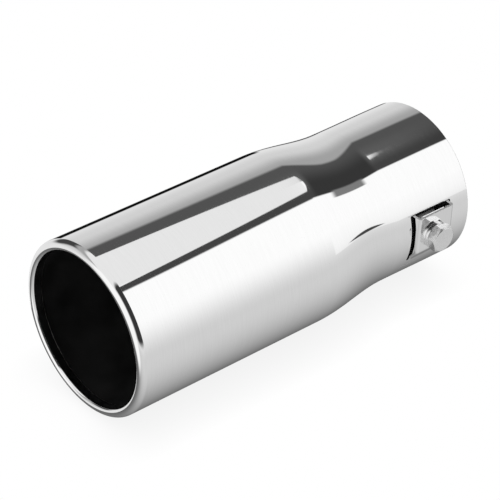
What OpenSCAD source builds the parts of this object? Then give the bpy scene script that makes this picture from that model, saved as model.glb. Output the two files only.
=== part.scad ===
// Bolt-on exhaust tailpipe: one drawn stainless tube with a rolled outlet lip, a long neck down
// to the inlet, and a pressed-out clamp tab that holds a nut, a split lock washer and a hex bolt.
// The tube lies along Y. The origin is the centre of the inlet's rear end, the outlet faces -Y,
// and the clamp bolt points out along +X.

/* [Tube] */
// Outside diameter of the outlet barrel
barrel_od = 76; // [72:1:100]
// Outside diameter of the inlet at its sized rear end
inlet_od = 69; // [64:0.5:71]
// How much smaller in radius the neck is than the sized end
neck_draw = 0.25; // [0.1:0.05:0.6]
// Length of the straight barrel, from the outlet plane
barrel_l = 101; // [60:1:160]
// Length of the S-shaped neck between barrel and inlet
taper_l = 38.5; // [25:0.5:60]
// Length of the inlet behind the neck
inlet_l = 39.5; // [38:0.5:70]
// Length of the cylindrical sized land at the rear end
sized_l = 9.5; // [5:0.5:9.5]
// Thickness of the sheet
wall = 1.2; // [0.8:0.1:1.4]

/* [Rolled lip] */
// Radial width of the rolled lip, seen from the front
lip_w = 4.3; // [4.2:0.1:8]
// Radius of the lip's outer round
lip_crown_r = 2.9; // [2:0.1:2.9]
// Depth of the lip's inner return, from the outlet plane to its cut edge
lip_return_l = 4.8; // [3:0.1:10]

/* [Clamp window and tab] */
// Distance from the rear end to the bolt's axis
clamp_y = 21.4; // [20.8:0.1:26]
// Length of the window along the tube
window_l = 22.4; // [21.5:0.1:23]
// Gap between the tab's side walls and the window's edges
tab_gap = 1.1; // [0.6:0.1:1.5]
// Height of the window's upper edge above the bolt's axis
window_top = 9.6; // [9:0.1:11]
// Height of the corner reliefs above the window's upper edge
relief_h = 1.4; // [0.8:0.1:2.5]
// Length of each corner relief along the tube
relief_l = 2.8; // [2:0.1:4]
// Height of the tab's flat face above the tube, at the bolt
tab_rise = 2.3; // [2:0.1:4]
// Height of the tab's open edge above the bolt's axis
tab_top = 11; // [9:0.1:12]
// Distance from the bolt's axis down to the tab's root
tab_root = 11.3; // [10.5:0.1:12]
// Flat rim left round the washer on the tab's face
seat_rim = 0.3; // [0.1:0.1:0.6]
// Outside bend radius between the tab's face and its side walls
tab_bend_r = 1.6; // [1.5:0.1:2.2]
// How far the side cuts run on past the tab's root
slit_overrun = 0.3; // [0.1:0.1:1]

/* [Clamp bolt] */
// Diameter over the bolt's thread
bolt_d = 6.3; // [5.5:0.1:6.6]
// Length of the bolt under its head
bolt_l = 19; // [12:0.5:25]
// Size of the hex head across its flats
head_af = 11.1; // [10:0.1:13]
// Height of the hex head
head_h = 3.9; // [3:0.1:5]
// Turn of the hex head about the bolt's axis
head_turn = 47; // [0:1:60]
// Height of the chamfer at the bolt's point
point_h = 1; // [0.5:0.1:1.5]

/* [Lock washer] */
// Outside diameter of the split lock washer
washer_od = 12.4; // [11:0.1:13]
// Thickness of the lock washer
washer_t = 1.57; // [1:0.01:2]
// Width of the washer's split
split_w = 1.1; // [0.5:0.1:2]
// Place of the split, as an angle from the tube's axis towards the open edge
split_turn = 68; // [0:1:360]

/* [Clamp nut] */
// Size of the square nut across its flats
nut_af = 11; // [9.5:0.1:11.5]
// Thickness of the square nut
nut_h = 3.2; // [2.4:0.1:4]
// Flat face kept below the nut's edge, so that the nut clears the bend inside
nut_room = 1; // [0.8:0.1:1.5]

/* [Fits] */
// Radial clearance of the bolt in the nut
thread_clear = 0.05; // [0.02:0.01:0.1]
// Radial clearance of the bolt in the washer
washer_clear = 0.15; // [0.1:0.05:0.3]
// Radial clearance of the bolt in the tab's hole
hole_clear = 0.3; // [0.2:0.05:0.5]

/* [Hidden] */

// Circles are drawn with this many sides: the tube, the bolt and washer, holes and bends, cuts
round_fn = 96;
bolt_fn = 64;
hole_fn = 48;
cut_fn = 32;
hex_n = 6;
// Steps in the neck's S-curve and in each of the lip's arcs
neck_steps = 28;
arc_steps = 10;
// Angle of the hex head's chamfer, and its face circle as a share of the flats
head_chamfer = 30;
face_share = 0.95;
// Angle of the cut through the lock washer
split_slant = 20;
// How far a cutting shape stands clear of what it cuts
over = 1;

barrel_r = barrel_od / 2;
inlet_r = inlet_od / 2;
bore_r = inlet_r - wall;
neck_r = inlet_r - neck_draw;
neck_end = barrel_l + taper_l;
tip_l = neck_end + inlet_l;
lip_r = barrel_r - lip_w;
lip_turn_r = lip_w - lip_crown_r;
seat_x = inlet_r + tab_rise;
tab_l = window_l - 2 * tab_gap;
bolt_r = bolt_d / 2;
washer_x = seat_x + washer_t;
// The tab's flat face reaches below the bolt's axis as far as the washer and the nut need
tab_flat = max(washer_od / 2 + seat_rim, nut_af / 2 + nut_room);
// Where the tab's ramp leaves the tube's outer surface
root_x = sqrt(inlet_r * inlet_r - tab_root * tab_root);

function arc(centre, r, from, to) =
    [for (i = [0:arc_steps])
        let (a = from + (to - from) * i / arc_steps)
        centre + r * [cos(a), sin(a)]];

function neck(depth) =
    [for (i = [0:neck_steps])
        let (u = i / neck_steps)
        [(barrel_r + neck_r + (barrel_r - neck_r) * cos(180 * u)) / 2 - depth,
         barrel_l + taper_l * u]];

// One face of the sheet as radius and distance from the outlet: the outer one at depth 0
function skin(depth) = concat(
    [[lip_r + depth, lip_return_l]],
    arc([lip_r + lip_turn_r, lip_turn_r], lip_turn_r - depth, 180, 270),
    arc([barrel_r - lip_crown_r, lip_crown_r], lip_crown_r - depth, 270, 360),
    neck(depth),
    [[inlet_r - depth, tip_l - sized_l], [inlet_r - depth, tip_l]]);

function reversed(list) = [for (i = [len(list) - 1:-1:0]) list[i]];

// Places its child's Z axis along the tube, with z = 0 at the outlet plane
module along_tube() {
    translate([0, -tip_l, 0]) rotate([-90, 0, 0]) children();
}

// Places its child's Z axis outwards along the bolt, with z = 0 on the tube's axis
module along_bolt() {
    translate([0, -clamp_y, 0]) rotate([90, 0, 90]) children();
}

module drawn_tube() {
    along_tube()
        rotate_extrude($fn = round_fn)
            polygon(concat(skin(0), reversed(skin(wall))));
}

// The bore, long enough to trim what reaches in past the sheet's inner face
module bore_space() {
    along_tube() translate([0, 0, neck_end])
        cylinder(r = bore_r, h = inlet_l + over, $fn = round_fn);
}

// The opening that the tab is pressed out of, with its side cuts and corner reliefs
module window() {
    height = window_top + tab_root;
    along_bolt() linear_extrude(seat_x + over) {
        translate([-window_l / 2, -tab_root + wall / 2])
            square([window_l, height - wall / 2]);
        for (side = [0, 1]) mirror([side, 0])
            side_cut();
    }
}

// One side cut in the developed view, with round ends
module side_cut() {
    end_r = tab_gap / 2;
    top = window_top + relief_h;
    bottom = -tab_root - slit_overrun;
    translate([-window_l / 2, bottom + end_r]) square([tab_gap, top - bottom - 2 * end_r]);
    translate([-window_l / 2 + end_r, bottom + end_r]) circle(r = end_r, $fn = cut_fn);
    translate([-window_l / 2 + end_r, top - end_r]) circle(r = end_r, $fn = cut_fn);
    translate([-window_l / 2 + end_r, window_top - over]) square([relief_l - 2 * end_r, relief_h + over]);
    translate([-window_l / 2 + relief_l - end_r, window_top - over])
        square([end_r, relief_h + over - end_r]);
    translate([-window_l / 2 + relief_l - end_r, top - end_r]) circle(r = end_r, $fn = cut_fn);
}

// The tab's pressed form at a depth below its outer faces, and up to a stated open edge
module pressed_form(depth, top) {
    run = tab_root - tab_flat;
    rise = seat_x - root_x;
    slope = sqrt(run * run + rise * rise);
    // the ramp's corner points, each moved in by the depth
    bend_z = -tab_flat + depth * (slope - rise) / run;
    root_z = -tab_root + (depth > 0 ? depth : 0);
    ramp_x = seat_x - depth - (bend_z - root_z) * rise / run;
    intersection() {
        translate([0, -clamp_y + tab_l / 2, 0]) rotate([90, 0, 0])
            linear_extrude(tab_l)
                polygon([[0, root_z], [ramp_x, root_z], [seat_x - depth, bend_z],
                         [seat_x - depth, top], [0, top]]);
        translate([0, -clamp_y, -tab_root - over])
            linear_extrude(tab_root + top + 2 * over)
                channel(depth);
    }
}

// The tab seen along its open edge: a flat face between two round bends
module channel(depth) {
    r = tab_bend_r - depth;
    half = tab_l / 2 - depth;
    reach = seat_x - depth;
    translate([0, -half]) square([reach - r, 2 * half]);
    translate([0, -half + r]) square([reach, 2 * (half - r)]);
    for (side = [-1, 1])
        translate([reach - r, side * (half - r)]) circle(r = r, $fn = hole_fn);
}

module clamp_tab() {
    difference() {
        pressed_form(0, tab_top);
        pressed_form(wall, tab_top + over);
        bore_space();
        along_bolt() cylinder(r = bolt_r + hole_clear, h = seat_x + over, $fn = hole_fn);
    }
}

module tailpipe_shell() {
    color([0.86, 0.87, 0.88]) union() {
        difference() {
            drawn_tube();
            window();
        }
        clamp_tab();
    }
}

// Square nut, welded under the tab's flat face
module clamp_nut() {
    color([0.7, 0.7, 0.72]) along_bolt()
        difference() {
            translate([0, 0, seat_x - wall - nut_h / 2])
                cube([nut_af, nut_af, nut_h], center = true);
            translate([0, 0, seat_x - wall - nut_h - over])
                cylinder(r = bolt_r + thread_clear, h = nut_h + 2 * over, $fn = hole_fn);
        }
}

module lock_washer() {
    ring_w = washer_od / 2 - bolt_r - washer_clear;
    middle = bolt_r + washer_clear + ring_w / 2;
    color([0.75, 0.76, 0.78]) along_bolt()
        translate([0, 0, seat_x])
            difference() {
                cylinder(d = washer_od, h = washer_t, $fn = bolt_fn);
                translate([0, 0, -over])
                    cylinder(r = bolt_r + washer_clear, h = washer_t + 2 * over, $fn = hole_fn);
                rotate([0, 0, split_turn]) translate([middle, 0, washer_t / 2])
                    rotate([split_slant, 0, 0])
                        cube([ring_w + 2 * over, split_w, 2 * (washer_t + over)], center = true);
            }
}

module clamp_bolt() {
    corner_r = head_af / 2 / cos(180 / hex_n);
    face_r = head_af / 2 * face_share;
    chamfer_h = (corner_r + over - face_r) * tan(head_chamfer);
    color([0.88, 0.88, 0.9]) along_bolt()
        translate([0, 0, washer_x]) {
            intersection() {
                rotate([0, 0, head_turn]) cylinder(r = corner_r, h = head_h, $fn = hex_n);
                rotate_extrude($fn = bolt_fn)
                    polygon([[0, 0], [corner_r + over, 0], [corner_r + over, head_h - chamfer_h],
                             [face_r, head_h], [0, head_h]]);
            }
            translate([0, 0, -bolt_l]) rotate_extrude($fn = bolt_fn)
                polygon([[0, 0], [bolt_r - point_h, 0], [bolt_r, point_h],
                         [bolt_r, bolt_l + head_h / 2], [0, bolt_l + head_h / 2]]);
        }
}

tailpipe_shell();
clamp_nut();
lock_washer();
clamp_bolt();
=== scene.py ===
import math

import bpy
import numpy as np
from mathutils import Matrix, Vector
from mathutils.geometry import delaunay_2d_cdt


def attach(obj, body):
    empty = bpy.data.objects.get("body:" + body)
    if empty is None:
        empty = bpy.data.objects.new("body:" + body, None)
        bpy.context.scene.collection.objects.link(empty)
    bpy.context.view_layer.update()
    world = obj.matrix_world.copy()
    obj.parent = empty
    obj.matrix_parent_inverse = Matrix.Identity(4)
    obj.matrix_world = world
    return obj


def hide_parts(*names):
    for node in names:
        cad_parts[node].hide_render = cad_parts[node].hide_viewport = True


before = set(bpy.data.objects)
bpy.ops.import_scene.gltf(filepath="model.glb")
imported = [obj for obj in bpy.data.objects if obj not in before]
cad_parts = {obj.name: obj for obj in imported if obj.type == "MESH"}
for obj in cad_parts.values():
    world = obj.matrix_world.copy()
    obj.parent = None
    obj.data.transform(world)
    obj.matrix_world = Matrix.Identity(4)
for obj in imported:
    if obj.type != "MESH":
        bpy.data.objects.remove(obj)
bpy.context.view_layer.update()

MM = 0.001

# Sizes, in millimetres and as in the part's source
BARREL_R = 38.0
NECK_R = 34.25
INLET_R = 34.5
BARREL_L = 101.0
TAPER_L = 38.5
SIZED_L = 9.5
TIP_L = 179.0
WALL = 1.2
LIP_R = 33.7
LIP_TURN_R = 1.4
LIP_CROWN_R = 2.9
LIP_RETURN = 4.8
BORE_R = INLET_R - WALL

CLAMP_Y = -21.4
WIN_L = 22.4
RELIEF_TOP = 11.0
FLAP_TIP = 7.8
RELIEF_L = 2.8
GAP = 1.1
SLIT_END = -11.6
TAB_L = 20.2
TAB_TOP = 11.0
TAB_ROOT = -11.3
TAB_FLAT = -6.5
TAB_BEND = 1.6
SEAT_X = 36.8

BOLT_R = 3.15
BOLT_L = 19.0
HEAD_AF = 11.1
HEAD_H = 3.9
HEAD_TURN = math.radians(47)
PITCH = 1.27
WASHER_R = 6.2
WASHER_T = 1.57
WASHER_IN = 3.3
SPLIT_TURN = math.radians(68)
SPLIT_W = 1.1
NUT_AF = 11.0
NUT_H = 3.2
THREAD_CLEAR = 0.05


# Mesh helpers
def smooth_object(name, verts, faces, normals=None, slots=None):
    """A mesh object from points in millimetres, smooth shaded, with stated vertex normals where given."""
    mesh = bpy.data.meshes.new(name)
    points = [tuple(v) for v in np.asarray(verts) * MM]
    mesh.from_pydata(points, [], [tuple(int(i) for i in f) for f in faces])
    mesh.polygons.foreach_set("use_smooth", np.ones(len(mesh.polygons), bool))
    if slots is not None:
        mesh.polygons.foreach_set("material_index", np.asarray(slots, np.int32))
    mesh.update()
    if normals is not None:
        mesh.normals_split_custom_set_from_vertices([tuple(n) for n in normals])
    obj = bpy.data.objects.new(name, mesh)
    bpy.context.scene.collection.objects.link(obj)
    return obj


class Sheet:
    """Collects points, normals and faces of one mesh."""

    def __init__(self):
        self.p, self.n, self.f, self.s = [], [], [], []

    def add(self, points, normals):
        start = len(self.p)
        self.p += [tuple(map(float, q)) for q in points]
        self.n += [tuple(map(float, q)) for q in normals]
        return list(range(start, start + len(points)))

    def face(self, ids, slot=0):
        self.f.append(tuple(ids))
        self.s.append(slot)

    def strip(self, a, b, slot=0, closed=False):
        """Quads between two rows of the same length."""
        n = len(a)
        for i in range(n if closed else n - 1):
            j = (i + 1) % n
            self.face((a[i], a[j], b[j], b[i]), slot)


def unit(v):
    v = np.asarray(v, float)
    return v / np.linalg.norm(v, axis=-1, keepdims=True)


# The tube
def tube_profile():
    """Rows of (distance from the outlet, radius, normal along the tube, radial normal) on the outer face."""
    rows = []
    for t in np.linspace(LIP_RETURN, LIP_TURN_R, 7)[:-1]:
        rows.append((t, LIP_R, 0.0, -1.0))
    for a in np.radians(np.linspace(180, 270, 11)):
        rows.append((LIP_TURN_R + LIP_TURN_R * math.sin(a), LIP_R + LIP_TURN_R + LIP_TURN_R * math.cos(a),
                     math.sin(a), math.cos(a)))
    for a in np.radians(np.linspace(270, 360, 17))[1:]:
        r = BARREL_R - LIP_CROWN_R + LIP_CROWN_R * math.cos(a)
        rows.append((LIP_CROWN_R + LIP_CROWN_R * math.sin(a), r, math.sin(a), math.cos(a)))
    for t in np.linspace(LIP_CROWN_R, BARREL_L, 24)[1:]:
        rows.append((t, BARREL_R, 0.0, 1.0))
    for u in np.linspace(0, 1, 40)[1:]:
        r = (BARREL_R + NECK_R + (BARREL_R - NECK_R) * math.cos(math.pi * u)) / 2
        slope = -(BARREL_R - NECK_R) / 2 * math.pi / TAPER_L * math.sin(math.pi * u)
        k = math.hypot(1, slope)
        rows.append((BARREL_L + TAPER_L * u, r, -slope / k, 1 / k))
    for t in np.linspace(BARREL_L + TAPER_L, TIP_L, 40)[1:]:
        rows.append((t, inlet_r(t), 0.0, 1.0))
    return rows


def inlet_r(t):
    u = np.clip((np.asarray(t, float) - BARREL_L - TAPER_L) / (TIP_L - SIZED_L - BARREL_L - TAPER_L), 0, 1)
    return NECK_R + (INLET_R - NECK_R) * u * u * (3 - 2 * u)


# facets round the tube, the radius of a sheared edge's corner, and the facets over that corner
SEGMENTS = 240
EDGE = 0.16
EDGE_STEPS = 3
# the part of the inlet that holds the window: its half angle, its front end, and its outline's step
PATCH_HALF_DEG = 27.0
PATCH_START = 143.5
OUTLINE_STEP = 0.35


def rim(sheet, ids, points, normals, out, slot, closed=False):
    """A sheared edge with rounded corners, from a row on the outer face round to the inner face.
    points is that row, out the direction of the edge. Returns the row on the inner face."""
    rows = [ids]
    points, normals, out = np.asarray(points), np.asarray(normals), np.asarray(out)
    steps = np.radians(np.linspace(0, 90, EDGE_STEPS + 1))
    for a in steps[1:]:
        p = points + out * EDGE * math.sin(a) - normals * EDGE * (1 - math.cos(a))
        rows.append(sheet.add(p, unit(normals * math.cos(a) + out * math.sin(a))))
    for a in steps:
        p = points + out * EDGE * math.cos(a) - normals * (WALL - EDGE + EDGE * math.sin(a))
        rows.append(sheet.add(p, unit(out * math.cos(a) - normals * math.sin(a))))
    for a, b in zip(rows, rows[1:]):
        sheet.strip(a, b, slot, closed)
    return rows[-1]


def window_outline():
    """The window's outline seen from the side, as (y, z) from the bolt's axis, clockwise."""
    pts = []

    def arc(cy, cz, r, a0, a1, n=7):
        for a in np.radians(np.linspace(a0, a1, n)):
            pts.append((cy + r * math.cos(a), cz + r * math.sin(a)))

    half, e = WIN_L / 2, GAP / 2
    # left slit's bottom, up the outer side, over the left relief, along the top, and down the right
    arc(-half + e, SLIT_END + e, e, 360, 180)
    arc(-half + e, RELIEF_TOP - e, e, 180, 90)
    arc(-half + RELIEF_L - e, RELIEF_TOP - e, e, 90, 0)
    arc(-half + RELIEF_L + e * 0.6, FLAP_TIP + e * 0.6, e * 0.6, 180, 270)
    arc(half - RELIEF_L - e * 0.6, FLAP_TIP + e * 0.6, e * 0.6, 270, 360)
    arc(half - RELIEF_L + e, RELIEF_TOP - e, e, 180, 90)
    arc(half - e, RELIEF_TOP - e, e, 90, 0)
    arc(half - e, SLIT_END + e, e, 0, -180)
    # the hole's lower edge, hidden under the tab's root
    arc(half - GAP - 0.4, TAB_ROOT + 0.8, 0.3, 0, 90, 4)
    arc(-half + GAP + 0.4, TAB_ROOT + 0.8, 0.3, 90, 180, 4)
    return pts


def resample(points, step):
    out = []
    n = len(points)
    for i in range(n):
        a, b = np.array(points[i]), np.array(points[(i + 1) % n])
        k = max(1, int(math.ceil(np.linalg.norm(b - a) / step)))
        for j in range(k):
            out.append(a + (b - a) * j / k)
    return np.array(out)


def outward(points):
    """Directions across a closed outline, all to its left."""
    nxt, prv = np.roll(points, -1, 0), np.roll(points, 1, 0)
    t = unit(nxt - prv)
    return np.stack([-t[:, 1], t[:, 0]], -1)


def inside(points, poly):
    """Which points lie in a closed polygon."""
    x, y = points[:, 0], points[:, 1]
    hit = np.zeros(len(points), bool)
    px, py = poly[:, 0], poly[:, 1]
    j = len(poly) - 1
    for i in range(len(poly)):
        cross = (py[i] > y) != (py[j] > y)
        at = (px[j] - px[i]) * (y - py[i]) / (py[j] - py[i] + 1e-12) + px[i]
        hit ^= cross & (x < at)
        j = i
    return hit


def nearest(points, poly):
    d = np.full(len(points), 1e9)
    for q in poly:
        d = np.minimum(d, np.hypot(points[:, 0] - q[0], points[:, 1] - q[1]))
    return d


FLAP_HALF = WIN_L / 2 - RELIEF_L
FLAP_BEND = 0.9
FLAP_TURN = math.radians(24)


def flap_drop(y, z):
    """How far the tongue between the corner reliefs is pressed inwards, and its slope along z."""
    d = np.clip(RELIEF_TOP - z, 0, None)
    on = np.abs(y - CLAMP_Y) < FLAP_HALF + 0.3
    k = math.tan(FLAP_TURN)
    drop = np.where(d < FLAP_BEND, k * d * d / (2 * FLAP_BEND), k * (d - FLAP_BEND / 2))
    slope = np.where(d < FLAP_BEND, k * d / FLAP_BEND, k)
    near = z > FLAP_TIP - 1.5
    return np.where(on & near, drop, 0.0), np.where(on & near, slope, 0.0)


def on_tube(y, z):
    """Points and normals of the outer face over the clamp's side, from y and z."""
    y, z = np.asarray(y, float), np.asarray(z, float)
    r = inlet_r(y + TIP_L)
    x = np.sqrt(r * r - z * z)
    drop, slope = flap_drop(y, z)
    n = unit(np.stack([np.ones_like(x), np.zeros_like(x), z / x - slope], -1))
    return np.stack([x - drop, y, z], -1), n


def build_tube(sheet):
    rows = tube_profile()
    n_rows = len(rows)
    a = np.arange(SEGMENTS) * 2 * math.pi / SEGMENTS
    ids = []
    inner = []
    for t, r, nt, nr in rows:
        p = np.stack([r * np.cos(a), np.full_like(a, t - TIP_L), r * np.sin(a)], -1)
        n = np.stack([nr * np.cos(a), np.full_like(a, nt), nr * np.sin(a)], -1)
        ids.append(sheet.add(p, n))
        inner.append(sheet.add(p - n * WALL, -n))
    # the patch that holds the window is left out of the grid
    half = int(round(PATCH_HALF_DEG / 360 * SEGMENTS))
    first = next(i for i, q in enumerate(rows) if q[0] > PATCH_START)
    last = n_rows - 2

    def in_patch(i, j):
        k = (j + SEGMENTS // 2) % SEGMENTS - SEGMENTS // 2
        return first <= i < last and -half <= k < half

    for i in range(n_rows - 1):
        for j in range(SEGMENTS):
            if in_patch(i, j):
                continue
            k = (j + 1) % SEGMENTS
            sheet.face((ids[i][j], ids[i + 1][j], ids[i + 1][k], ids[i][k]), 0)
            sheet.face((inner[i][j], inner[i][k], inner[i + 1][k], inner[i + 1][j]), 1)
    # rims at the lip's return and at the rear end
    for row in (0, n_rows - 1):
        p = np.array([sheet.p[k] for k in ids[row]])
        n = np.array([sheet.n[k] for k in ids[row]])
        out = np.tile([0.0, 1.0, 0.0], (SEGMENTS, 1))
        end = rim(sheet, ids[row], p - out * EDGE, n, out, 2, True)
        for k, q in zip(ids[row], p - out * EDGE):
            sheet.p[k] = tuple(q)
        for k, q in zip(inner[row], end):
            sheet.p[k] = sheet.p[q]
    # the patch, as a triangulation of the developed view in y and z
    border = [(i, -half) for i in range(first, last)] + [(last, j) for j in range(-half, half)]
    border += [(i, half) for i in range(last, first, -1)] + [(first, j) for j in range(half, -half, -1)]
    border_ids = [ids[i][j % SEGMENTS] for i, j in border]
    border_in = [inner[i][j % SEGMENTS] for i, j in border]
    hole = resample([(CLAMP_Y + q[0], q[1]) for q in window_outline()], OUTLINE_STEP)
    away = outward(hole)
    if inside(hole[:1] + away[:1] * 0.05, hole)[0]:
        away = -away
    edge = hole + away * EDGE
    grid = [(rows[i][0] - TIP_L, sheet.p[ids[i][j % SEGMENTS]][2])
            for i in range(first + 1, last) for j in range(-half + 1, half)]
    grid = np.array(grid)
    levels = [RELIEF_TOP - d for d in (0, 0.3, 0.6, 0.9, 1.15)]
    across = np.arange(-FLAP_HALF + 0.3, FLAP_HALF, 0.5)
    extra = np.array([(CLAMP_Y + y, z) for y in across for z in levels])
    grid = np.concatenate([grid[(np.abs(grid[:, 0] - CLAMP_Y) > FLAP_HALF) | (grid[:, 1] > RELIEF_TOP + 0.3)
                                | (grid[:, 1] < 0)], extra])
    keep = ~inside(grid, edge) & (nearest(grid, edge) > 0.22)
    grid = grid[keep]
    outer_yz = np.array([(sheet.p[k][1], sheet.p[k][2]) for k in border_ids])
    coords = [Vector(q) for q in np.concatenate([outer_yz, edge, grid])]
    nb, ne = len(outer_yz), len(edge)
    edges = [(i, (i + 1) % nb) for i in range(nb)] + [(nb + i, nb + (i + 1) % ne) for i in range(ne)]
    out = delaunay_2d_cdt(coords, edges, [], 0, 1e-6)
    verts2, _, faces2, orig = out[0], out[1], out[2], out[3]
    yz = np.array([(v.x, v.y) for v in verts2])
    source = [o[0] if o else -1 for o in orig]
    p, n = on_tube(yz[:, 0], yz[:, 1])
    new_out = sheet.add(p, n)
    new_in = sheet.add(p - n * WALL, -n)
    for i, o in enumerate(source):
        if 0 <= o < nb:
            new_out[i], new_in[i] = border_ids[o], border_in[o]
    centres = np.array([yz[list(f)].mean(0) for f in faces2])
    bad = inside(centres, edge)
    for f, b in zip(faces2, bad):
        if b:
            continue
        v = [yz[i] for i in f]
        area = (v[1][0] - v[0][0]) * (v[2][1] - v[0][1]) - (v[1][1] - v[0][1]) * (v[2][0] - v[0][0])
        g = list(f) if area > 0 else list(f)[::-1]
        # y along the tube and z up look anticlockwise from the outside when x points at the viewer
        sheet.face([new_out[i] for i in g], 0)
        sheet.face([new_in[i] for i in g[::-1]], 1)
    # the window's rim
    at = {o: i for i, o in enumerate(source)}
    loop = [at[nb + i] for i in range(ne)]
    base = np.array([sheet.p[new_out[i]] for i in loop])
    nrm = np.array([sheet.n[new_out[i]] for i in loop])
    into = -np.concatenate([np.zeros((ne, 1)), away], 1)
    into = unit(into - nrm * (into * nrm).sum(1, keepdims=True))
    end = rim(sheet, [new_out[i] for i in loop], base, nrm, into, 2, True)
    for i, q in zip(loop, end):
        sheet.p[q] = sheet.p[new_in[i]]


# The clamp tab
def smooth_max(a, b, k):
    return (a + b + np.sqrt((a - b) ** 2 + k * k)) / 2


def smooth_min(a, b, k):
    return (a + b - np.sqrt((a - b) ** 2 + k * k)) / 2


def tab_height(z):
    """The tab's outer face, as x over z: flat at the bolt, then a ramp that runs into the tube."""
    root_x = math.sqrt(inlet_r(158) ** 2 - TAB_ROOT ** 2)
    ramp = root_x + (z - TAB_ROOT) * (SEAT_X - root_x) / (TAB_FLAT - TAB_ROOT)
    tube = np.sqrt(INLET_R ** 2 - z * z) - 0.22
    return smooth_max(smooth_min(ramp, SEAT_X, 0.5), tube, 0.5)


def tab_section(z, count_side, count_arc, count_flat):
    """Points and in-plane normals across the tab at one height."""
    x_face = float(tab_height(np.array(z)))
    x_in = math.sqrt((BORE_R - 0.5) ** 2 - z * z)
    r = min(TAB_BEND, max(x_face - x_in - 0.1, 0.15))
    half = TAB_L / 2
    pts = []
    for x in np.linspace(x_in, x_face - r, count_side + 1)[:-1]:
        pts.append((x, -half, 0.0, -1.0))
    for a in np.radians(np.linspace(180, 90, count_arc + 1)):
        pts.append((x_face - r + r * math.sin(a), -half + r + r * math.cos(a), math.sin(a), math.cos(a)))
    flat = np.linspace(-half + r, half - r, count_flat + 1)[1:-1]
    for y in flat:
        pts.append((x_face, y, 1.0, 0.0))
    for x, y, nx, ny in pts[:count_side + count_arc + 1][::-1]:
        pts.append((x, -y, nx, -ny))
    return np.array(pts)


def build_tab(sheet):
    bend = TAB_FLAT + 1.2
    ramp_rows = np.linspace(TAB_ROOT - 1.1, bend, 27)
    flat_rows = np.linspace(bend, TAB_TOP, 22)
    zs = np.concatenate([ramp_rows, flat_rows[1:]])
    side, arc, flat = 6, 9, 22
    sections = np.array([tab_section(z, side, arc, flat) for z in zs])
    rows_n, cols = sections.shape[:2]
    pos = np.zeros((rows_n, cols, 3))
    pos[..., 0] = sections[..., 0]
    pos[..., 1] = sections[..., 1] + CLAMP_Y
    pos[..., 2] = zs[:, None]
    dz = np.gradient(pos, axis=0)
    tangent = np.zeros_like(pos)
    tangent[..., 0] = -sections[..., 3]
    tangent[..., 1] = sections[..., 2]
    nrm = unit(np.cross(tangent, dz))
    nrm *= np.sign((nrm[..., 0] * sections[..., 2] + nrm[..., 1] * sections[..., 3]))[..., None]
    outer = [sheet.add(pos[i], nrm[i]) for i in range(rows_n)]
    inner = [sheet.add(pos[i] - nrm[i] * WALL, -nrm[i]) for i in range(rows_n)]
    for i in range(rows_n - 1):
        for j in range(cols - 1):
            sheet.face((outer[i][j], outer[i][j + 1], outer[i + 1][j + 1], outer[i + 1][j]), 0)
            sheet.face((inner[i][j], inner[i + 1][j], inner[i + 1][j + 1], inner[i][j + 1]), 1)
    # the open edge along the top
    p = np.array([sheet.p[k] for k in outer[-1]])
    n = np.array([sheet.n[k] for k in outer[-1]])
    up = np.tile([0.0, 0.0, 1.0], (cols, 1))
    for k, q in zip(outer[-1], p - up * EDGE):
        sheet.p[k] = tuple(q)
    end = rim(sheet, outer[-1], p - up * EDGE, n, up, 2)
    for k, q in zip(inner[-1], end):
        sheet.p[k] = sheet.p[q]
    # the side walls' inner edges
    for col in (0, cols - 1):
        a = [outer[i][col] for i in range(rows_n)]
        b = [inner[i][col] for i in range(rows_n)]
        p = np.array([sheet.p[k] for k in a])
        q = np.array([sheet.p[k] for k in b])
        down = np.tile([-1.0, 0.0, 0.0], (rows_n, 1))
        a2, b2 = sheet.add(p, down), sheet.add(q, down)
        sheet.strip(a2, b2, 2)


shell_sheet = Sheet()
build_tube(shell_sheet)
build_tab(shell_sheet)
shell = smooth_object("tip_shell", shell_sheet.p, shell_sheet.f, shell_sheet.n, shell_sheet.s)


# The bolt, washer and nut
def along_bolt(points, x0=0.0):
    """Local (a, b, h) about the bolt's axis to the part's frame: a along +Y, b along +Z, h along +X."""
    p = np.asarray(points, float)
    return np.stack([p[..., 2] + x0, p[..., 0] + CLAMP_Y, p[..., 1]], -1)


def turn_mesh(name, verts, faces, x0, bevel, angle=25, segments=2):
    mesh = bpy.data.meshes.new(name)
    mesh.from_pydata([tuple(v) for v in along_bolt(verts, x0) * MM], [], [tuple(f) for f in faces])
    mesh.validate()
    mesh.update()
    obj = bpy.data.objects.new(name, mesh)
    bpy.context.scene.collection.objects.link(obj)
    if bevel:
        m = obj.modifiers.new("edges", "BEVEL")
        m.width = bevel * MM
        m.segments = segments
        m.limit_method = "ANGLE"
        m.angle_limit = math.radians(angle)
        m.harden_normals = True
    mesh.polygons.foreach_set("use_smooth", np.ones(len(mesh.polygons), bool))
    return obj


def hex_r(a, af, turn):
    k = (a - turn) % (math.pi / 3) - math.pi / 6
    return af / 2 / math.cos(k)


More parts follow.
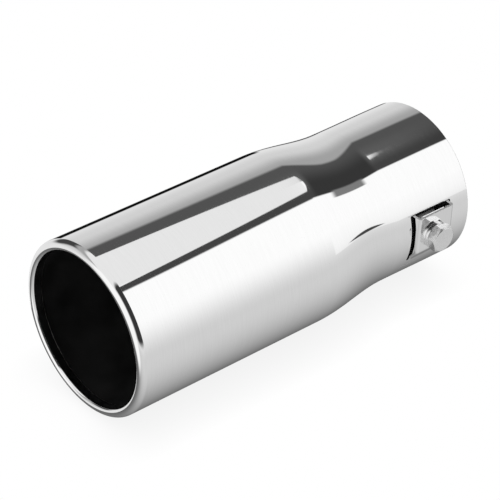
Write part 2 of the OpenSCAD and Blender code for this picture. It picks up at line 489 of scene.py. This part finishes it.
def head_mesh():
    """The hex head, with its chamfer and a shallow dish in the face."""
    n = 96
    angles = [HEAD_TURN + 2 * math.pi * i / n for i in range(n)]
    face_r = HEAD_AF / 2 * 0.95
    rings, verts, faces = [], [], []

    def ring(radii, heights):
        start = len(verts)
        for a, r, h in zip(angles, radii, heights):
            verts.append((r * math.cos(a), r * math.sin(a), h))
        rings.append(list(range(start, start + n)))

    hexes = [hex_r(a, HEAD_AF, HEAD_TURN) for a in angles]
    ring([BOLT_R] * n, [0.0] * n)
    ring([4.6] * n, [0.0] * n)
    ring([h * 0.985 for h in hexes], [0.0] * n)
    ring(hexes, [0.12] * n)
    tops = [HEAD_H - max(h - face_r, 0.05) * math.tan(math.radians(30)) for h in hexes]
    for t in (0.33, 0.66, 1.0):
        ring(hexes, [0.12 + (top - 0.12) * t for top in tops])
    ring([face_r] * n, [HEAD_H] * n)
    for k, drop in ((0.8, 0.0), (0.55, 0.03), (0.3, 0.05), (0.1, 0.06)):
        ring([face_r * k] * n, [HEAD_H - drop] * n)
    verts.append((0, 0, HEAD_H - 0.06))
    for a, b in zip(rings, rings[1:]):
        for i in range(n):
            j = (i + 1) % n
            faces.append((a[i], a[j], b[j], b[i]))
    for i in range(n):
        faces.append((rings[-1][i], rings[-1][(i + 1) % n], len(verts) - 1))
    return verts, faces


def thread_r(a, h, major, minor):
    """Radius of a right-hand thread at an angle and a height."""
    u = (h / PITCH - a / (2 * math.pi)) % 1.0
    flank = abs(u - 0.5) * 2
    k = min(max((flank - 0.10) / 0.78, 0.0), 1.0)
    return major - (major - minor) * k


def shank_mesh():
    """The threaded shank, from its chamfered point up into the head."""
    around, steps = 40, 15
    levels = []
    h = -BOLT_L
    while h < 0.3:
        levels.append(h)
        h += PITCH / steps
    verts, faces = [], []
    major = BOLT_R - 0.02
    minor = BOLT_R - 0.72
    for h in levels:
        for i in range(around):
            a = 2 * math.pi * i / around
            r = min(thread_r(a, h, major, minor), BOLT_R - 1.0 + (h + BOLT_L))
            r += (major - r) * min(max((h + 1.0) / 0.6, 0.0), 1.0)
            verts.append((r * math.cos(a), r * math.sin(a), h))
    for k in range(len(levels) - 1):
        for i in range(around):
            j = (i + 1) % around
            faces.append((k * around + i, k * around + j, (k + 1) * around + j, (k + 1) * around + i))
    verts.append((0, 0, -BOLT_L))
    for i in range(around):
        faces.append(((i + 1) % around, i, len(verts) - 1))
    return verts, faces


def join(name, parts):
    bpy.ops.object.select_all(action="DESELECT")
    for o in parts:
        o.select_set(True)
    bpy.context.view_layer.objects.active = parts[0]
    bpy.ops.object.join()
    parts[0].name = name
    return parts[0]


def apply_all(obj):
    depsgraph = bpy.context.evaluated_depsgraph_get()
    mesh = bpy.data.meshes.new_from_object(obj.evaluated_get(depsgraph), depsgraph=depsgraph)
    obj.modifiers.clear()
    obj.data = mesh
    return obj


HEAD_X = SEAT_X + WASHER_T
head = apply_all(turn_mesh("bolt_head", *head_mesh(), HEAD_X, 0.16, 18))
shank = turn_mesh("bolt_shank", *shank_mesh(), HEAD_X, 0)
bolt = join("hex_bolt", [head, shank])


def washer_mesh():
    """The split ring: a rounded square section swept from one end face to the other."""
    verts, faces = [], []
    gap = SPLIT_W / ((WASHER_R + WASHER_IN) / 2)
    n = 96
    e = 0.14
    section = []
    for cx, cz, a0 in ((WASHER_R - e, WASHER_T - e, 0), (WASHER_IN + e, WASHER_T - e, 90),
                       (WASHER_IN + e, e, 180), (WASHER_R - e, e, 270)):
        for a in np.radians(np.linspace(a0, a0 + 90, 4)):
            section.append((cx + e * math.cos(a), cz + e * math.sin(a)))
    m = len(section)
    slant = math.tan(math.radians(20))
    for i in range(n + 1):
        t = i / n
        for r, z in section:
            lean = (z - WASHER_T / 2) * slant / r
            a = SPLIT_TURN + gap / 2 + (2 * math.pi - gap) * t - lean
            verts.append((r * math.cos(a), r * math.sin(a), z))
    for i in range(n):
        for k in range(m):
            l = (k + 1) % m
            faces.append((i * m + k, (i + 1) * m + k, (i + 1) * m + l, i * m + l))
    faces.append(tuple(range(m)))
    faces.append(tuple(n * m + k for k in range(m))[::-1])
    return verts, faces


washer = apply_all(turn_mesh("split_washer", *washer_mesh(), SEAT_X, 0.08, 60))


def nut_mesh():
    """The square nut, with a chamfered top and a bore cut with the same thread as the bolt."""
    around, steps = 40, 12
    verts, faces, rings = [], [], []
    angles = [2 * math.pi * i / around for i in range(around)]

    def ring(radii, h):
        start = len(verts)
        for a, r in zip(angles, radii):
            verts.append((r * math.cos(a), r * math.sin(a), h))
        rings.append(list(range(start, start + around)))

    def square(cap=NUT_AF):
        return [min(NUT_AF / 2 / max(abs(math.cos(a)), abs(math.sin(a))), cap) for a in angles]

    bore = BOLT_R + THREAD_CLEAR
    face_r = BOLT_R + THREAD_CLEAR + 1.5
    count = int(NUT_H / PITCH * steps)
    for k in range(count + 1):
        h = NUT_H * k / count
        radii = [bore - 0.55 + thread_r(a, h, 0.55, 0.0) for a in angles]
        radii = [max(r, bore - min(h, NUT_H - h)) for r in radii]
        ring(radii, h)
    ring([face_r] * around, NUT_H)
    ring(square(), NUT_H)
    ring(square(), NUT_H * 0.5)
    ring(square(), 0.5)
    ring(square(NUT_AF * 0.6), 0.0)
    ring([face_r] * around, 0.0)
    rings.append(rings[0])
    for a, b in zip(rings, rings[1:]):
        for i in range(around):
            j = (i + 1) % around
            faces.append((a[j], a[i], b[i], b[j]))
    return verts, faces


nut = apply_all(turn_mesh("weld_nut", *nut_mesh(), SEAT_X - WALL - NUT_H, 0.12, 40))


# Materials
def material(name, tones, rough, grain, metallic=1.0, bump=0.0, around_y=False):
    """A material whose tone and roughness wander between two values on a noise of the stated grain.
    grain is the noise's scale per metre. With around_y the noise is drawn out round the tube's axis,
    as polishing lines are."""
    m = bpy.data.materials.new(name)
    m.use_nodes = True
    nodes, links = m.node_tree.nodes, m.node_tree.links
    shader = nodes["Principled BSDF"]
    shader.inputs["Metallic"].default_value = metallic
    coord = nodes.new("ShaderNodeTexCoord")
    noise = nodes.new("ShaderNodeTexNoise")
    noise.inputs["Detail"].default_value = 4.0
    noise.inputs["Scale"].default_value = grain
    vector = coord.outputs["Object"]
    if around_y:
        stretch = nodes.new("ShaderNodeVectorMath")
        stretch.operation = "MULTIPLY"
        stretch.inputs[1].default_value = (0.04, 1.0, 0.04)
        links.new(vector, stretch.inputs[0])
        vector = stretch.outputs[0]
    links.new(vector, noise.inputs["Vector"])
    for socket, (low, high) in (("Base Color", tones), ("Roughness", rough)):
        spread = nodes.new("ShaderNodeMapRange")
        spread.inputs["From Min"].default_value = 0.3
        spread.inputs["From Max"].default_value = 0.7
        spread.inputs["To Min"].default_value = low
        spread.inputs["To Max"].default_value = high
        links.new(noise.outputs["Fac"], spread.inputs["Value"])
        links.new(spread.outputs["Result"], shader.inputs[socket])
    if bump:
        relief = nodes.new("ShaderNodeBump")
        relief.inputs["Distance"].default_value = bump
        links.new(noise.outputs["Fac"], relief.inputs["Height"])
        links.new(relief.outputs["Normal"], shader.inputs["Normal"])
    return m


chrome = material("polished_stainless", (0.965, 1.0), (0.01, 0.045), 2200.0, bump=4e-7, around_y=True)
# the inner faces of the tube and the tab get a near-black, matt colour, much darker than the outer face
inside_near_black = material("inside_black", (0.007, 0.02), (0.5, 0.7), 90.0, metallic=0.0)
cut = material("sheared_edge", (0.82, 0.95), (0.25, 0.4), 1800.0, bump=4e-6)
steel = material("bolt_stainless", (0.93, 1.0), (0.26, 0.42), 900.0, bump=2e-5)
ring_steel = material("washer_steel", (0.82, 0.95), (0.12, 0.26), 1200.0, bump=6e-6)
zinc = material("zinc_hardware", (0.5, 0.66), (0.3, 0.45), 700.0, bump=1e-5)

for m in (chrome, inside_near_black, cut):
    shell.data.materials.append(m)
bolt.data.materials.clear()
bolt.data.materials.append(steel)
washer.data.materials.append(ring_steel)
nut.data.materials.append(zinc)

for obj, body, node, slot in ((shell, "tip", "tailpipe_shell", "polished_stainless"),
                              (nut, "tip", "clamp_nut", "zinc_hardware"),
                              (washer, "washer", "lock_washer", "washer_steel"),
                              (bolt, "bolt", "clamp_bolt", "bolt_stainless")):
    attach(obj, body)
    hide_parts(node)


# Studio
def build_world():
    world = bpy.data.worlds.new("studio")
    bpy.context.scene.world = world
    world.use_nodes = True
    nt = world.node_tree
    nt.nodes.clear()
    new_node = nt.nodes.new
    link = nt.links.new

    def math_node(op, a, b=None, c=None):
        n = new_node("ShaderNodeMath")
        n.operation = op
        for i, v in enumerate((a, b, c)):
            if v is None:
                continue
            if isinstance(v, (int, float)):
                n.inputs[i].default_value = v
            else:
                link(v, n.inputs[i])
        return n.outputs[0]

    def ramp(x, x0, x1, y0=0.0, y1=1.0, smooth=True):
        """y0 before x0, y1 after x1."""
        n = new_node("ShaderNodeMapRange")
        n.interpolation_type = "SMOOTHSTEP" if smooth else "LINEAR"
        n.clamp = True
        for key, v in (("From Min", x0), ("From Max", x1), ("To Min", y0), ("To Max", y1)):
            if isinstance(v, (int, float)):
                n.inputs[key].default_value = v
            else:
                link(v, n.inputs[key])
        link(x, n.inputs["Value"])
        return n.outputs["Result"]

    def mul(*v):
        out = v[0]
        for w in v[1:]:
            out = math_node("MULTIPLY", out, w)
        return out

    def band(x, a, b, soft_a, soft_b):
        """1 between a and b, with soft ends of the stated half widths."""
        return mul(ramp(x, a - soft_a, a + soft_a), ramp(x, b - soft_b, b + soft_b, 1.0, 0.0))

    def mix(base, value, mask):
        """base where the mask is 0, value where it is 1."""
        inverse = math_node("SUBTRACT", 1.0, mask)
        return math_node("ADD", mul(base, inverse), mul(mask, value))

    coord = new_node("ShaderNodeTexCoord")
    sep = new_node("ShaderNodeSeparateXYZ")
    link(coord.outputs["Generated"], sep.inputs[0])
    dx, dy, dz = sep.outputs
    # around the tube's axis, from 0 at +X over 90 at +Z, in degrees from -140 to 220, and away from +Y
    turn = math_node("MULTIPLY", math_node("ARCTAN2", dz, dx), 180 / math.pi)
    wrap = math_node("LESS_THAN", turn, -140.0)
    turn = math_node("ADD", turn, mul(wrap, 360.0))
    lean = math_node("MULTIPLY", math_node("ARCCOSINE", dy), 180 / math.pi)

    # the tent's base light
    low = ramp(turn, -135.0, -25.0, 0.13, 0.62)
    tone = math_node("ADD", low, ramp(turn, -22.0, 28.0, 0.0, 0.37))
    high = math_node("ADD", ramp(turn, 136.0, 166.0, 0.36, 0.64), ramp(turn, 166.0, 200.0, 0.0, 0.14))
    upper = ramp(turn, 100.0, 101.0)
    tone = mix(tone, high, upper)
    # the seam between two panels of the tent, which opens into a dark wedge behind
    lift = mul(ramp(turn, -6.0, -4.6, 0.0, 0.14), ramp(turn, -4.6, 24.0, 1.0, 0.0))
    lift = mul(lift, ramp(lean, 54.4, 55.6, 1.0, 0.0))
    tone = math_node("ADD", tone, lift)
    off_seam = math_node("ABSOLUTE", math_node("ADD", turn, 2.5))
    wedge = math_node("SUBTRACT", ramp(lean, 36.0, 46.0, 3.4, -0.4, False), off_seam)
    tone = mix(tone, 0.05, ramp(wedge, -0.5, 0.7))
    # the bright panel seen inside the frame
    tone = mix(tone, 0.80, mul(band(turn, 74.0, 131.0, 1.5, 4.0), ramp(lean, 54.0, 56.0)))
    # the dark frame behind: everything under an arch
    half = math_node("DIVIDE", math_node("SUBTRACT", turn, 97.8), 25.8)
    arch = math_node("POWER", math_node("MAXIMUM", math_node("SUBTRACT", 1.0, mul(half, half)), 0.0), 0.87)
    arch_line = math_node("SUBTRACT", 61.6, mul(arch, 8.0))
    left = math_node("SUBTRACT", 73.5, ramp(lean, 54.0, 61.0, 0.0, 7.5))
    right = ramp(lean, 42.0, 61.0, 124.0, 140.0, False)
    side_l = math_node("SUBTRACT", turn, left)
    side_r = math_node("SUBTRACT", right, turn)
    in_frame = mul(ramp(side_l, -1.2, 1.2), ramp(side_r, -3.0, 3.0))
    below_arch = ramp(math_node("SUBTRACT", arch_line, lean), -0.25, 0.25)
    dark = mul(in_frame, below_arch)
    back = ramp(turn, 92.0, 126.0, 0.036, 0.08)
    front = math_node("SUBTRACT", ramp(turn, 80.0, 99.0, 0.055, 0.105), ramp(turn, 104.0, 124.0, 0.0, 0.022))
    deep = mix(back, front, ramp(lean, 50.0, 54.0))
    tone = mix(tone, deep, dark)
    # the frame's worn corner
    tone = mix(tone, 0.2, mul(band(turn, 64.5, 75.5, 1.0, 2.0), ramp(lean, 40.5, 43.5, 1.0, 0.0)))
    # the dark room behind the camera, left of the white panel, and the second flag
    room = mul(band(turn, 0.0, 77.0, 6.0, 4.0), ramp(lean, 61.0, 63.0), ramp(lean, 122.0, 146.0, 1.0, 0.0))
    tone = mix(tone, 0.035, room)
    flag = mul(band(turn, 146.0, 181.0, 5.0, 6.0), ramp(lean, 61.0, 64.0), ramp(lean, 104.0, 122.0, 1.0, 0.0))
    tone = mix(tone, 0.05, flag)
    # floor in front is white
    tone = mix(tone, 0.95, ramp(lean, 138.0, 152.0))
    # the narrow black flag behind, seen along the upper outline
    tone = mix(tone, 0.004, mul(band(turn, 193.5, 214.0, 1.5, 3.0), band(lean, 55.3, 64.0, 0.5, 2.0)))
    tone = mix(tone, 0.06, mul(band(turn, 205.0, 219.9, 2.0, 0.1), band(lean, 30.0, 55.3, 2.0, 0.5)))

    env = new_node("ShaderNodeBackground")
    link(tone, env.inputs["Color"])
    env.inputs["Strength"].default_value = 1.0
    white = new_node("ShaderNodeBackground")
    white.inputs["Color"].default_value = (1, 1, 1, 1)
    path = new_node("ShaderNodeLightPath")
    pick = new_node("ShaderNodeMixShader")
    link(path.outputs["Is Camera Ray"], pick.inputs[0])
    link(env.outputs[0], pick.inputs[1])
    link(white.outputs[0], pick.inputs[2])
    end = new_node("ShaderNodeOutputWorld")
    link(pick.outputs[0], end.inputs[0])


build_world()


def build_floor():
    """A pale floor: white to the camera but for a faint shadow close to the object. Mirrors see the tent
    through it."""
    half, level = 1.5, -BARREL_R * MM - 0.0002
    mesh = bpy.data.meshes.new("floor")
    corners = ((-half, -half, level), (half, -half, level), (half, half, level), (-half, half, level))
    mesh.from_pydata(corners, [], [(0, 1, 2, 3)])
    floor = bpy.data.objects.new("floor", mesh)
    bpy.context.scene.collection.objects.link(floor)
    m = bpy.data.materials.new("floor_pale")
    m.use_nodes = True
    nodes, links = m.node_tree.nodes, m.node_tree.links
    nodes.clear()
    shade = nodes.new("ShaderNodeAmbientOcclusion")
    shade.inputs["Distance"].default_value = 0.02
    spread = nodes.new("ShaderNodeMapRange")
    spread.inputs["To Min"].default_value = 0.86
    links.new(shade.outputs["AO"], spread.inputs["Value"])
    glow = nodes.new("ShaderNodeEmission")
    links.new(spread.outputs["Result"], glow.inputs["Color"])
    pale = nodes.new("ShaderNodeBsdfDiffuse")
    pale.inputs["Color"].default_value = (0.8, 0.8, 0.8, 1)
    clear = nodes.new("ShaderNodeBsdfTransparent")
    path = nodes.new("ShaderNodeLightPath")
    seen = nodes.new("ShaderNodeMixShader")
    links.new(path.outputs["Is Camera Ray"], seen.inputs[0])
    links.new(pale.outputs[0], seen.inputs[1])
    links.new(glow.outputs[0], seen.inputs[2])
    mirrored = nodes.new("ShaderNodeMixShader")
    links.new(path.outputs["Is Glossy Ray"], mirrored.inputs[0])
    links.new(seen.outputs[0], mirrored.inputs[1])
    links.new(clear.outputs[0], mirrored.inputs[2])
    end = nodes.new("ShaderNodeOutputMaterial")
    links.new(mirrored.outputs[0], end.inputs[0])
    mesh.materials.append(m)


build_floor()

cam_data = bpy.data.cameras.new("photo_camera")
cam = bpy.data.objects.new("photo_camera", cam_data)
bpy.context.scene.collection.objects.link(cam)
# the camera was fitted to the photograph in the part's own frame
cam_data.sensor_width = 36.0
cam_data.lens = 166.78
cam_data.clip_start = 0.01
cam_data.clip_end = 20
right = Vector((0.64523, 0.76296, 0.03946))
forward = Vector((-0.60220, 0.53971, -0.58828)).normalized()
right = (right - forward * right.dot(forward)).normalized()
up = right.cross(forward)
cam.matrix_world = Matrix(((right.x, up.x, -forward.x, 0.5773), (right.y, up.y, -forward.y, -0.6099),
                           (right.z, up.z, -forward.z, 0.5654), (0, 0, 0, 1)))
bpy.context.scene.camera = cam

bpy.context.scene.view_settings.view_transform = "Standard"
